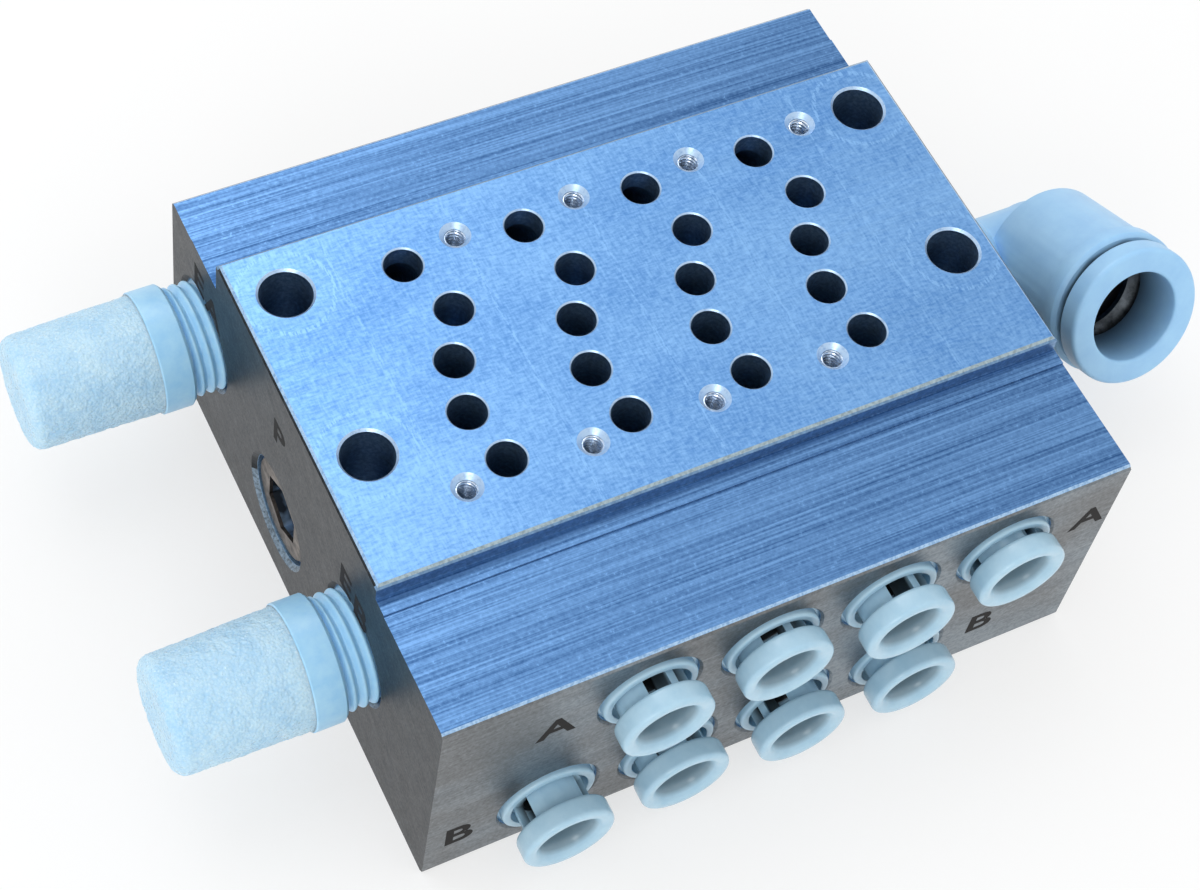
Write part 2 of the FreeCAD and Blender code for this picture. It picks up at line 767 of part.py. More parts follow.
def port_plug(mark, x, gallery_y, gallery_z, rotation):
    # A taper plug screwed in below the face, with a hexagon socket
    blank = turned("plug_blank_" + mark, [
        ("0", "-plugSunk - plugLength"),
        ("portRadius - plugChamfer", "-plugSunk - plugLength"),
        ("portRadius", "-plugSunk - plugLength + plugChamfer"),
        ("portRadius", "-plugSunk - plugChamfer"),
        ("portRadius - plugChamfer", "-plugSunk"),
        ("0", "-plugSunk"),
    ])
    socket = hexagon("plug_socket_" + mark, "plugSocketWidth", "plugSocketDepth")
    locate(socket, "0", "0", "-plugSunk - plugSocketDepth")
    plug = cut("port_plug_" + mark, blank, socket)
    locate(plug, x, pad_y(gallery_y), gallery_z, rotation)
    return plug


pieces = [manifold_block()]
for fitting_row in "AB":
    for fitting_number in range(1, STATION_COUNT + 1):
        pieces += push_in_fitting(fitting_row, fitting_number)
pieces += [elbow_stud(), elbow_stem_seal(), elbow_body(), elbow_guide(), elbow_release_ring()]
pieces += elbow_inner_ring()
pieces += silencer("ea") + silencer("eb")
pieces += [
    port_plug("p", LEFT_X, "supplyGalleryY", "supplyGalleryHeight", ALONG_X_BACK),
    port_plug("ea", RIGHT_X, "exhaustAGalleryY", "exhaustGalleryHeight", ALONG_X_OUT),
    port_plug("eb", RIGHT_X, "exhaustBGalleryY", "exhaustGalleryHeight", ALONG_X_OUT),
]
doc.recompute()

for item in doc.Objects:
    if "Invalid" in item.State or "Error" in item.State:
        raise RuntimeError("%s failed to build" % item.Label)
for piece in pieces:
    if piece.Shape.isNull() or not piece.Shape.isValid():
        raise RuntimeError("%s has no valid shape" % piece.Label)

os.makedirs("parts", exist_ok=True)
for piece in pieces:
    piece.Label = piece.Name
    piece.Shape.exportStep("parts/%s.step" % piece.Label)
    print("%-24s volume %9.2f  solids %d" % (piece.Label, piece.Shape.Volume, len(piece.Shape.Solids)))
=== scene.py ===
import math
import bmesh
import bpy
import numpy as np
from mathutils import Matrix, Vector


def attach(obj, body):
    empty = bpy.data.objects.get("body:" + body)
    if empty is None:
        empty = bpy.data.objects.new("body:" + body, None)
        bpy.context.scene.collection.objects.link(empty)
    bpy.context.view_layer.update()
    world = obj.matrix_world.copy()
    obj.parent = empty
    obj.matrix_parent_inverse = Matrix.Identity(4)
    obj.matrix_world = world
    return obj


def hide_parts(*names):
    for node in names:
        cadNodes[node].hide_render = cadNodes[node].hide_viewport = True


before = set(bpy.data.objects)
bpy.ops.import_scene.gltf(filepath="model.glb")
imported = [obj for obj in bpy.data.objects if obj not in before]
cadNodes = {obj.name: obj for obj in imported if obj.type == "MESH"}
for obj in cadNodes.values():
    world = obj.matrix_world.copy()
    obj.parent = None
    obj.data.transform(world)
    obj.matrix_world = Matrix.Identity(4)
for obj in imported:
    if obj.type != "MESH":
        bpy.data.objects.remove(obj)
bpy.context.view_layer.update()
mm = 0.001
rightAngle = math.pi / 2
print("frame loaded:", len(cadNodes), "pieces")

# The block's sizes in mm, as the CAD has them, from its middle and its underside
block = {
    "halfLength": 29.5, "halfWidth": 26.15, "height": 25.5,
    "padFront": -14.25, "padBack": 16.75, "frontDrop": 1.5, "rearDrop": 3.4,
    "firstStation": 13.45, "pitch": 10.5, "galleryZ": 12.2,
    "holeMiddle": (0.2, 4.3), "holeHalfSpacing": (25.75, 7.9),
}


def stationX(number):  # stations count from 0 at the silencers' end
    return -block["halfLength"] + block["firstStation"] + block["pitch"] * number


# Small helpers

def linearColour(hexText):  # sRGB hex to linear light
    parts = [int(hexText[i:i + 2], 16) / 255 for i in (1, 3, 5)]
    return tuple([c / 12.92 if c <= 0.04045 else ((c + 0.055) / 1.055) ** 2.4 for c in parts] + [1.0])


def fillInputs(tree, node, inputs):  # links nodes and sockets, and sets plain values on the node itself
    for key, value in (inputs.items() if isinstance(inputs, dict) else enumerate(inputs)):
        if isinstance(value, bpy.types.Node):
            value = value.outputs[2 if getattr(value, "data_type", "") == "RGBA" else 0]
        if isinstance(value, bpy.types.NodeSocket):
            tree.links.new(value, node.inputs[key])
        else:
            node.inputs[key].default_value = value


def addNode(tree, kind, inputs=(), **settings):  # adds and sets one node; its inputs go by place or name
    node = tree.nodes.new("ShaderNode" + kind)
    for key, value in settings.items():
        setattr(node, key, value)
    fillInputs(tree, node, inputs)
    return node


def newMaterial(name):  # returns the material, its tree, its shader, and the place in millimetres
    material = bpy.data.materials.new(name)
    material.use_nodes = True
    tree = material.node_tree
    tree.nodes.clear()
    shader = addNode(tree, "BsdfPrincipled")
    addNode(tree, "OutputMaterial", {"Surface": shader})
    coords = addNode(tree, "TexCoord")
    place = addNode(tree, "VectorMath", {0: coords.outputs["Object"], "Scale": 1000.0}, operation="SCALE")
    return material, tree, shader, place


def finishPiece(name, mesh, body, material, replaces=()):
    piece = bpy.data.objects.new(name, mesh)
    bpy.context.scene.collection.objects.link(piece)
    mesh.materials.clear()
    mesh.materials.append(material)
    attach(piece, body)
    if replaces:
        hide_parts(*replaces)
    return piece


def gridPiece(name, points, body, material, replaces=(), closedV=False):
    # points[i, j] is a surface over two parameters: i runs round and closes, j runs along
    rows, columns = points.shape[:2]
    index = np.arange(rows * columns).reshape(rows, columns)
    i, j = np.meshgrid(np.arange(rows), np.arange(columns if closedV else columns - 1), indexing="ij")
    i1, j1 = (i + 1) % rows, (j + 1) % columns
    faces = np.stack([index[i, j], index[i1, j], index[i1, j1], index[i, j1]], -1).reshape(-1, 4)
    mesh = bpy.data.meshes.new(name)
    mesh.from_pydata((points.reshape(-1, 3) * mm).tolist(), [], faces.tolist())
    shell = bmesh.new()
    shell.from_mesh(mesh)
    bmesh.ops.remove_doubles(shell, verts=shell.verts, dist=1e-7)
    bmesh.ops.recalc_face_normals(shell, faces=shell.faces)
    shell.to_mesh(mesh)
    shell.free()
    mesh.polygons.foreach_set("use_smooth", np.ones(len(mesh.polygons), bool))
    return finishPiece(name, mesh, body, material, replaces)


def moulded(node, body, material, soften, adjust=None):
    # A merged copy of a CAD piece with its sharp corners softened, as a moulding tool leaves them
    shell = bmesh.new()
    shell.from_mesh(cadNodes[node].data)
    bmesh.ops.remove_doubles(shell, verts=shell.verts, dist=2e-6)
    bmesh.ops.dissolve_limit(shell, angle_limit=math.radians(0.5), verts=shell.verts, edges=shell.edges)
    mesh = bpy.data.meshes.new(node + "_moulded")
    shell.to_mesh(mesh)
    shell.free()
    mesh.polygons.foreach_set("use_smooth", np.ones(len(mesh.polygons), bool))
    if adjust:
        corners = np.empty(len(mesh.vertices) * 3)
        mesh.vertices.foreach_get("co", corners)
        corners, shade = adjust(corners.reshape(-1, 3) / mm)
        mesh.vertices.foreach_set("co", (corners * mm).ravel())
        mesh.attributes.new("innerShade", "FLOAT", "POINT").data.foreach_set("value", shade)
    piece = finishPiece(node + "_moulded", mesh, body, material, (node,))
    bevel = piece.modifiers.new("softEdges", "BEVEL")
    bevel.width = soften * mm
    bevel.segments = 2
    bevel.limit_method = "ANGLE"
    bevel.angle_limit = math.radians(30)
    bevel.harden_normals = True
    return piece


def latticeNoise(points, cell, seed):
    # Value noise: random numbers on a cubic lattice, blended smoothly between its corners
    p = points / cell + 1000.0
    base = np.floor(p).astype(np.int64)
    f = p - base
    f = f * f * (3 - 2 * f)
    total = np.zeros(points.shape[:-1])
    for corner in range(8):
        step = np.array([corner & 1, (corner >> 1) & 1, (corner >> 2) & 1])
        q = base + step
        code = (q[..., 0] * 73856093) ^ (q[..., 1] * 19349663) ^ (q[..., 2] * 83492791) ^ (seed * 2654435)
        code = (code * 1103515245 + 12345) & 0x7FFFFFFF
        code = ((code >> 7) * 1103515245 + 12345) & 0x7FFFFFFF
        total += np.prod(np.where(step == 1, f, 1 - f), axis=-1) * (code % 65536) / 65535.0
    return total


def denseProfile(corners, step):
    # Points along straight runs, with two close to each corner so that smooth shading stays tight there
    points = [np.array(corners[0], float)]
    for start, end in zip(corners[:-1], corners[1:]):
        start, end = np.array(start, float), np.array(end, float)
        length = np.linalg.norm(end - start)
        count = max(int(length / step), 1)
        share = np.linspace(0, 1, count + 1)[1:-1]
        near = min(0.03 / length, 0.2)
        for t in [near] + [s for s in share if near < s < 1 - near] + [1 - near, 1.0]:
            points.append(start + (end - start) * t)
    return np.array(points)


def roundProfile(corners):
    # Each corner is (height, radius, rounding): two straight runs joined by a quadratic curve
    points = []
    count = len(corners)
    for i in range(count):
        here = np.array(corners[i][:2], float)
        before, after = (np.array(corners[k][:2], float) - here for k in (i - 1, (i + 1) % count))
        room = min(corners[i][2], 0.45 * np.linalg.norm(before), 0.45 * np.linalg.norm(after))
        start, end = (here + side / np.linalg.norm(side) * max(room, 0.01) for side in (before, after))
        for t in np.linspace(0, 1, 7):
            points.append((1 - t) ** 2 * start + 2 * t * (1 - t) * here + t * t * end)
    return np.array(points)


def roundAxis(heights, radii, angles, foot, axis):
    # A turned surface: foot + height * axis + radius * (cos a * u + sin a * v), u and v across the axis
    along = np.array(axis, float)
    u = np.cross(along, (0.0, 0.0, 1.0) if abs(along[2]) < 0.9 else (1.0, 0.0, 0.0))
    u /= np.linalg.norm(u)
    v = np.cross(along, u)
    ring = np.cos(angles)[:, None] * u + np.sin(angles)[:, None] * v
    return np.array(foot) + heights[..., None] * along + radii[..., None] * ring[:, None, :]


def turnedPiece(name, corners, foot, axis, body, material, replaces=(), segments=96, shade=None):
    profile = roundProfile(corners)
    angles = np.linspace(0, 2 * np.pi, segments, endpoint=False)
    shape = (segments, len(profile))
    points = roundAxis(np.broadcast_to(profile[:, 0], shape), np.broadcast_to(profile[:, 1], shape), angles,
                       foot, axis)
    piece = gridPiece(name, points, body, material, replaces, closedV=True)
    if shade:
        places = np.empty(len(piece.data.vertices) * 3)
        piece.data.vertices.foreach_get("co", places)
        places = places.reshape(-1, 3) / mm - np.array(foot)
        along = places @ np.array(axis)
        across = np.sqrt(np.maximum((places ** 2).sum(axis=1) - along ** 2, 0))
        shades = piece.data.attributes.new("innerShade", "FLOAT", "POINT")
        shades.data.foreach_set("value", shade(along, across))
    return piece


# Materials

blockFinish = {
    # light colour, dark colour, and the stretch of its pattern that they span
    # The front's and the ends' darker, greyer colours are painted shade of the darker surroundings these
    # faces reflect; the pad and shoulders, facing the sky, get lighter, bluer ones
    "pad": ("#86b5e6", "#588ac6", 0.44, 0.7), "shoulder": ("#729fd3", "#345a8b", 0.44, 0.74),
    "front": ("#8f989f", "#656d74", 0.5, 0.84), "end": ("#44474b", "#2a2d30", 0.35, 0.75),
    # lip, edge, mouth and rim colour chamfers lighter than the faces they border: painted highlights
    "wall": ("#84a8cc", "#6d8cae", 0.35, 0.65), "lip": ("#b6cad2", "#98a9b0", 0.35, 0.6),
    "edge": ("#b9d9f7", "#8db4dd", 0.35, 0.6), "mouth": ("#bfdaf6", "#a4c4e8", 0.3, 0.5),
    "rim": ("#8c9eae", "#5d6973", 0.35, 0.6), "drilled": ("#98bad8", "#7697b8", 0.4, 0.7),
    "stain": "#6d6256",
    "streakWidthMm": 0.2, "padGrainMm": 0.22, "endScratchMm": 0.3, "endScratchTurn": -35,
    "cutterLineMm": 0.3, "scuffRadiusMm": 3.8, "scuffWidthMm": 0.18, "footBandMm": (17.6, 19.0),
    "roughness": (0.34, 0.5), "scratchDepthMm": 0.005,
}


def milledAluminium():
    # Machined aluminium bar: face-milled pad, brushed shoulders, sawn ends and dark drilled holes
    v, b = blockFinish, block
    material, tree, shader, place = newMaterial("milledAluminium")
    normal = addNode(tree, "TexCoord").outputs["Normal"]
    x, y, z = addNode(tree, "SeparateXYZ", (place,)).outputs
    normalX, normalY, normalZ = addNode(tree, "SeparateXYZ", (normal,)).outputs
    made = {"x": x, "y": y, "z": z, "normalX": normalX, "normalY": normalY, "normalZ": normalZ}

    # Noise stretched by its own number of cycles per mm along each axis
    across, grain, endGrain = 1 / v["streakWidthMm"], 1 / v["padGrainMm"], 1 / v["endScratchMm"]
    turned = addNode(tree, "VectorRotate", {"Vector": place, "Angle": math.radians(v["endScratchTurn"])},
                     rotation_type="X_AXIS")
    for name, source, cycles, detail in (
            ("fineStreaks", place, (0.04, across, across), 3.0),
            ("wideStreaks", place, (0.012, across * 0.16, across * 0.16), 2.0),
            ("padGrain", place, (grain * 0.3, grain, 0.0), 4.0),
            ("padCross", place, (grain * 1.1, grain * 0.2, 0.0), 3.0),
            ("padCloud", place, (0.07, 0.1, 0.1), 2.0),
            ("speck", place, (3.2, 3.2, 3.2), 2.0),
            ("endScratch", turned, (0.0, endGrain * 0.06, endGrain), 4.0)):
        stretched = addNode(tree, "VectorMath", (source, cycles), operation="MULTIPLY")
        made[name] = addNode(tree, "TexNoise", {"Vector": stretched, "Scale": 1.0, "Detail": detail,
                                                "Roughness": 0.62})

    # Each row works out one value from those before it; RANGE maps a value from one stretch to another
    for name, operation, *values in (
            # faint cutter lines across the pad, one for each station
            ("crossing", "GREATER_THAN", "padCross", 0.5),
            ("stationPlace", "ADD", "x", b["halfLength"] - b["firstStation"] + b["pitch"] / 2),
            ("stationPlace", "PINGPONG", "stationPlace", b["pitch"] / 2),
            ("cutterLine", "RANGE", "stationPlace", 0.0, v["cutterLineMm"], 1.0, 0.0),
            ("cutterLine", "MULTIPLY", "cutterLine", "crossing"),
            # scuffs that bolt heads left round the four mounting holes, folded onto one hole
            ("foldX", "SUBTRACT", "x", b["holeMiddle"][0]),
            ("foldX", "ABSOLUTE", "foldX"),
            ("foldX", "SUBTRACT", "foldX", b["holeHalfSpacing"][0]),
            ("foldY", "SUBTRACT", "y", b["holeMiddle"][1]),
            ("foldY", "ABSOLUTE", "foldY"),
            ("foldY", "SUBTRACT", "foldY", b["holeHalfSpacing"][1]),
            ("hub", "MULTIPLY", "foldX", "foldX"),
            ("hub", "MULTIPLY_ADD", "foldY", "foldY", "hub"),
            ("hub", "SQRT", "hub"),
            ("scuff", "COMPARE", "hub", v["scuffRadiusMm"], v["scuffWidthMm"]),
            ("scuff", "MULTIPLY", "scuff", "crossing"),
            # the pad's pattern, the brushing, and the front's and the ends' patterns
            ("padTone", "MULTIPLY", "padCross", 0.35),
            ("padTone", "MULTIPLY_ADD", "padGrain", 0.5, "padTone"),
            ("padTone", "MULTIPLY_ADD", "padCloud", 0.3, "padTone"),
            ("padTone", "MULTIPLY_ADD", "cutterLine", 0.08, "padTone"),
            ("padTone", "MULTIPLY_ADD", "scuff", 0.12, "padTone"),
            ("brush", "MULTIPLY", "wideStreaks", 0.3),
            ("brush", "MULTIPLY_ADD", "fineStreaks", 0.65, "brush"),
            ("brush", "MULTIPLY_ADD", "speck", 0.25, "brush"),
            ("pit", "GREATER_THAN", "speck", 0.68),
            ("brush", "MULTIPLY_ADD", "pit", 0.08, "brush"),
            ("frontTone", "MULTIPLY", "brush", 0.4),
            ("frontTone", "MULTIPLY_ADD", "speck", 0.5, "frontTone"),
            ("frontTone", "MULTIPLY_ADD", "padCloud", 0.45, "frontTone"),
            ("stain", "RANGE", "padCloud", 0.62, 0.4, 0.0, 0.35),
            ("scored", "GREATER_THAN", "endScratch", 0.6),
            ("endTone", "MULTIPLY_ADD", "scored", 0.2, "endScratch"),
            # the shoulder is darker in a band along the foot of the rear step
            ("footBand", "RANGE", "y", *v["footBandMm"], -0.14, 0.0),
            ("onRear", "GREATER_THAN", "y", b["padBack"] - 0.05),
            ("shoulderTone", "MULTIPLY_ADD", "footBand", "onRear", "brush"),
            # the ends, the front and back faces, and the walls of the two steps
            ("fromMiddleX", "ABSOLUTE", "x"),
            ("fromMiddleY", "ABSOLUTE", "y"),
            ("tiltX", "ABSOLUTE", "normalX"),
            ("tiltY", "ABSOLUTE", "normalY"),
            ("tiltZ", "ABSOLUTE", "normalZ"),
            ("atEnd", "GREATER_THAN", "fromMiddleX", b["halfLength"] - 0.38),
            ("endward", "GREATER_THAN", "tiltX", 0.3),
            ("endward", "MULTIPLY", "endward", "atEnd"),
            ("atSide", "GREATER_THAN", "fromMiddleY", b["halfWidth"] - 0.37),
            ("sideward", "GREATER_THAN", "tiltY", 0.3),
            ("sideward", "MULTIPLY", "sideward", "atSide"),
            ("frontWall", "COMPARE", "y", b["padFront"], 0.02),
            ("rearWall", "COMPARE", "y", b["padBack"], 0.02),
            ("stepWall", "ADD", "frontWall", "rearWall"),
            # the height above or below the top there, and the pad's own surface
            ("behindPad", "GREATER_THAN", "y", b["padBack"] + 0.04),
            ("beforePad", "LESS_THAN", "y", b["padFront"] - 0.04),
            ("localTop", "MULTIPLY_ADD", "beforePad", -b["frontDrop"], b["height"]),
            ("localTop", "MULTIPLY_ADD", "behindPad", -b["rearDrop"], "localTop"),
            ("aboveTop", "SUBTRACT", "z", "localTop"),
            ("upward", "GREATER_THAN", "normalZ", 0.5),
            ("padHigh", "GREATER_THAN", "z", b["height"] - 0.2),
            ("isPad", "MULTIPLY", "upward", "padHigh"),
            # chamfers, each painted lighter as a painted highlight: the outer edges, the pad's two lips, the
            # mouths of its holes, the ports' rims
            ("slanted", "COMPARE", "tiltZ", 0.707, 0.12),
            ("sideEdge", "GREATER_THAN", "aboveTop", -0.34),
            ("sideEdge", "MULTIPLY", "sideEdge", "sideward"),
            ("endEdge", "GREATER_THAN", "aboveTop", -0.2),
            ("endEdge", "MULTIPLY", "endEdge", "endward"),
            ("edge", "MAXIMUM", "sideEdge", "endEdge"),
            ("edge", "MULTIPLY", "edge", "slanted"),
            ("onPad", "GREATER_THAN", "z", b["height"] - 0.46),
            ("onPad", "MULTIPLY", "onPad", "slanted"),
            ("padLip", "SUBTRACT", "y", (b["padFront"] + b["padBack"]) / 2),
            ("padLip", "ABSOLUTE", "padLip"),
            ("padLip", "GREATER_THAN", "padLip", (b["padBack"] - b["padFront"]) / 2 - 0.4),
            ("padLip", "MULTIPLY", "padLip", "onPad"),
            ("mouth", "MAXIMUM", "sideward", "endward"),
            ("mouth", "MAXIMUM", "mouth", "padLip"),
            ("mouth", "SUBTRACT", 1.0, "mouth"),
            ("mouth", "MULTIPLY", "mouth", "onPad"),
            ("rimTilt", "GREATER_THAN", "normalZ", 0.12),
            ("portRim", "LESS_THAN", "z", 21.0),
            ("portRim", "MULTIPLY", "portRim", "rimTilt"),
            ("portRim", "MULTIPLY", "portRim", "endward"),
            # inside the drillings: below the top there, above the underside, and on no outer face
            ("underTop", "LESS_THAN", "aboveTop", -0.5),
            ("inside", "GREATER_THAN", "z", 0.2),
            ("inside", "MULTIPLY", "inside", "underTop"),
            ("outerFace", "MAXIMUM", "sideward", "endward"),
            ("outerFace", "MAXIMUM", "outerFace", "stepWall"),
            ("outerFace", "SUBTRACT", 1.0, "outerFace"),
            ("inside", "MULTIPLY", "inside", "outerFace")):
        values = [made[value] if isinstance(value, str) else value for value in values]
        if operation == "RANGE":
            made[name] = addNode(tree, "MapRange", values)
        else:
            made[name] = addNode(tree, "Math", values, operation=operation)

    paint = {"stain": linearColour(v["stain"])}
    for name, pattern in (("pad", "padTone"), ("shoulder", "shoulderTone"), ("front", "frontTone"),
                          ("end", "endTone"), ("wall", "speck"), ("lip", "speck"), ("edge", "speck"),
                          ("rim", "speck"), ("mouth", "speck"), ("drilled", "speck")):
        light, dark, low, high = v[name]
        spread = addNode(tree, "MapRange", (made[pattern], low, high))
        paint[name] = addNode(tree, "Mix", {0: spread, 6: linearColour(dark), 7: linearColour(light)},
                              data_type="RGBA")
    # Each row lays one colour over another where its zone is
    for name, zone, under, over in (
            ("front", "stain", "front", "stain"), ("lip", "padHigh", "wall", "lip"),
            ("top", "padHigh", "shoulder", "pad"), ("outside", "upward", "wall", "top"),
            ("outside", "sideward", "outside", "front"), ("outside", "endward", "outside", "end"),
            ("outside", "padLip", "outside", "lip"), ("outside", "portRim", "outside", "rim"),
            ("outside", "edge", "outside", "edge"), ("outside", "mouth", "outside", "mouth"),
            ("outside", "inside", "outside", "drilled")):
        paint[name] = addNode(tree, "Mix", {0: made[zone], 6: paint[under], 7: paint[over]}, data_type="RGBA")

    smooth, coarse = v["roughness"]
    rough = addNode(tree, "MapRange", (made["brush"], 0.4, 0.8, coarse, smooth))
    height = addNode(tree, "Mix", {0: made["isPad"], 2: made["brush"], 3: made["padTone"]}, data_type="FLOAT")
    height = addNode(tree, "Mix", {0: made["endward"], 2: height, 3: made["endScratch"]}, data_type="FLOAT")
    bump = addNode(tree, "Bump", {"Height": height, "Distance": v["scratchDepthMm"] * mm, "Strength": 0.8})
    fillInputs(tree, shader, {"Base Color": paint["outside"], "Roughness": rough, "Normal": bump,
                              "Metallic": 0.95})
    return material


resinFinish = {
    # light colour, dark colour, roughness, subsurface weight, grain size mm, grain depth mm
    "whitePbt": ("#b5d6e8", "#a6cbe0", 0.2, 0.10, 1.6, 0.004),
    "greyPbt": ("#a6d6fa", "#9acbf4", 0.36, 0.08, 2.4, 0.004),
    "naturalPolyethylene": ("#b0e0fe", "#9dd4fa", 0.34, 0.20, 1.2, 0.006),
}
paintedShadeColour = "#1d2022"  # painted shade in the bores round the tubes


def mouldedResin(name):
    # Injection-moulded engineering resin: even colour, a slight mottle and a satin skin
    light, dark, roughness, under, grain, relief = resinFinish[name]
    material, tree, shader, place = newMaterial(name)
    mottle = addNode(tree, "TexNoise", {"Vector": place, "Scale": 1 / grain, "Detail": 4.0,
                                                  "Roughness": 0.6})
    spread = addNode(tree, "MapRange", {"Value": mottle, "From Min": 0.3, "From Max": 0.7})
    colour = addNode(tree, "Mix", {0: spread, 6: linearColour(dark), 7: linearColour(light)},
                     data_type="RGBA")
    # The pieces carry where their bores get painted shade
    paintedBoreShade = addNode(tree, "Attribute", attribute_name="innerShade")
    colour = addNode(tree, "Mix", {0: paintedBoreShade.outputs["Fac"], 6: colour, 7: linearColour(paintedShadeColour)},
                     data_type="RGBA")
    skin = addNode(tree, "TexNoise", {"Vector": place, "Scale": 8.0, "Detail": 2.0})
    rough = addNode(tree, "MapRange", {"Value": skin, "To Min": roughness - 0.06,
                                                 "To Max": roughness + 0.1})
    bump = addNode(tree, "Bump", {"Height": skin, "Distance": relief * mm, "Strength": 0.6})
    fillInputs(tree, shader, {"Base Color": colour, "Roughness": rough, "Normal": bump, "IOR": 1.5,
                              "Subsurface Weight": under, "Subsurface Radius": (1.0, 0.9, 0.8),
                              "Subsurface Scale": 0.6 * mm})
    return material


porousFinish = {"light": "#cdeafa", "dark": "#aad5f2", "granuleMm": 0.24, "reliefMm": 0.08, "roughness": 0.6}


def sinteredPolyethylene():
    # Sintered polyethylene granules: milky, grainy, with tiny glints where granules face the light
    v = porousFinish
    material, tree, shader, place = newMaterial("sinteredPolyethylene")
    cells = addNode(tree, "TexVoronoi", {"Vector": place, "Scale": 1 / v["granuleMm"]})
    spread = addNode(tree, "MapRange", {"Value": cells.outputs["Distance"], "From Min": 0.1,
                                                  "From Max": 0.85, "To Min": 1.0, "To Max": 0.0})
    broad = addNode(tree, "TexNoise", {"Vector": place, "Scale": 0.5, "Detail": 3.0})
    fine = addNode(tree, "Math", {0: spread, 1: 0.35}, operation="MULTIPLY")
    milky = addNode(tree, "Math", {0: broad, 1: 0.9, 2: fine}, operation="MULTIPLY_ADD")
    milky = addNode(tree, "MapRange", {"Value": milky, "From Min": 0.3, "From Max": 0.95})
    colour = addNode(tree, "Mix", {0: milky, 6: linearColour(v["dark"]), 7: linearColour(v["light"])},
                     data_type="RGBA")
    glint = addNode(tree, "SeparateColor", {0: cells.outputs["Color"]})
    glint = addNode(tree, "Math", {0: glint.outputs[0], 1: 0.86}, operation="GREATER_THAN")
    rough = addNode(tree, "MapRange", {"Value": glint, "To Min": v["roughness"], "To Max": 0.12})
    bump = addNode(tree, "Bump", {"Height": spread, "Distance": v["reliefMm"] * mm, "Strength": 0.7})
    fillInputs(tree, shader, {"Base Color": colour, "Roughness": rough, "Normal": bump, "IOR": 1.5,
                              "Subsurface Weight": 0.4, "Subsurface Radius": (1.0, 1.0, 1.0),
                              "Subsurface Scale": 1.2 * mm})
    return material


plugSocket = {"light": "#b4cfea", "dark": "#454c54", "faceMm": 29.0, "behindFaceMm": 0.3, "glintsPerMm": 0.7}
metalFinish = {
    # light colour, dark colour, roughness, mark size mm
    "tappedAluminium": ("#eef6ff", "#7f9cbd", 0.16, 0.5),
    "sealedSteel": ("#847a72", "#3b3633", 0.38, 1.1),
    "nickelPlatedBrass": ("#c9c6bd", "#9b978c", 0.25, 1.2),
    # the collets' steel is painted dark: painted shade of the bores they sit in
    "springSteel": ("#565c62", "#15181b", 0.32, 1.6),
}


def workedMetal(name):
    # Worked metal: clean bright ground with darker handling and tool marks
    light, dark, roughness, mark = metalFinish[name]
    material, tree, shader, place = newMaterial(name)
    marks = addNode(tree, "TexNoise", {"Vector": place, "Scale": 1 / mark, "Detail": 5.0,
                                                 "Roughness": 0.65})
    spread = addNode(tree, "MapRange", {"Value": marks, "From Min": 0.32, "From Max": 0.62})
    colour = addNode(tree, "Mix", {0: spread, 6: linearColour(dark), 7: linearColour(light)},
                     data_type="RGBA")
    if name == "sealedSteel":  # the hexagon sockets, behind the plugs' faces, get painted glints: painted reflections in light and dark patches
        v = plugSocket
        behind = addNode(tree, "SeparateXYZ", (place,))
        behind = addNode(tree, "Math", (behind,), operation="ABSOLUTE")
        behind = addNode(tree, "Math", (behind, v["faceMm"] - v["behindFaceMm"]), operation="LESS_THAN")
        glint = addNode(tree, "TexNoise", {"Vector": place, "Scale": v["glintsPerMm"], "Detail": 2.0})
        glint = addNode(tree, "MapRange", {"Value": glint, "From Min": 0.4, "From Max": 0.62})
        paintedGlints = addNode(tree, "Mix", {0: glint, 6: linearColour(v["dark"]), 7: linearColour(v["light"])},
                          data_type="RGBA")
        colour = addNode(tree, "Mix", {0: behind, 6: colour, 7: paintedGlints}, data_type="RGBA")
    rough = addNode(tree, "MapRange", {"Value": marks, "To Min": roughness + 0.15,
                                                 "To Max": roughness - 0.1})
    fillInputs(tree, shader, {"Base Color": colour, "Roughness": rough, "Metallic": 1.0})
    return material


def plainSurface(name, colourA, colourB, roughness, sizeMm):
    # Rubber and laser marks: dark and nearly even, with a slight unevenness
    material, tree, shader, place = newMaterial(name)
    uneven = addNode(tree, "TexNoise", {"Vector": place, "Scale": 1 / sizeMm, "Detail": 4.0})
    colour = addNode(tree, "Mix", {0: uneven, 6: linearColour(colourA), 7: linearColour(colourB)},
                     data_type="RGBA")
    fillInputs(tree, shader, {"Base Color": colour, "Roughness": roughness})
    return material


aluminium = milledAluminium()
ringResin = mouldedResin("whitePbt")
elbowResin = mouldedResin("greyPbt")
bodyResin = mouldedResin("naturalPolyethylene")
porous = sinteredPolyethylene()
screwMetal = workedMetal("tappedAluminium")
plugMetal = workedMetal("sealedSteel")
studMetal = workedMetal("nickelPlatedBrass")
toothMetal = workedMetal("springSteel")
rubber = plainSurface("nitrileRubber", "#0c0d0e", "#1d1f21", 0.6, 0.8)
laserMark = plainSurface("laserMark", "#070606", "#181313", 0.85, 0.4)

for nodeName, piece in cadNodes.items():
    finish = aluminium
    for start, choice in (("collet", toothMetal), ("elbow_collet", toothMetal), ("tube_seal", rubber),
                          ("elbow_tube_seal", rubber), ("elbow_stem_seal", rubber), ("elbow_stud", studMetal),
                          ("port_plug", plugMetal), ("guide", ringResin), ("release_ring", ringResin),
                          ("elbow_guide", elbowResin), ("elbow_release_ring", elbowResin),
                          ("elbow_body", elbowResin), ("silencer_body", bodyResin),
                          ("silencer_element", porous)):
        if nodeName.startswith(start):
            finish = choice
    piece.data.materials.clear()
    piece.data.materials.append(finish)
print("materials done")


# Push-in fittings: each head and guide is a turned surface, the neck with its windows a softened copy

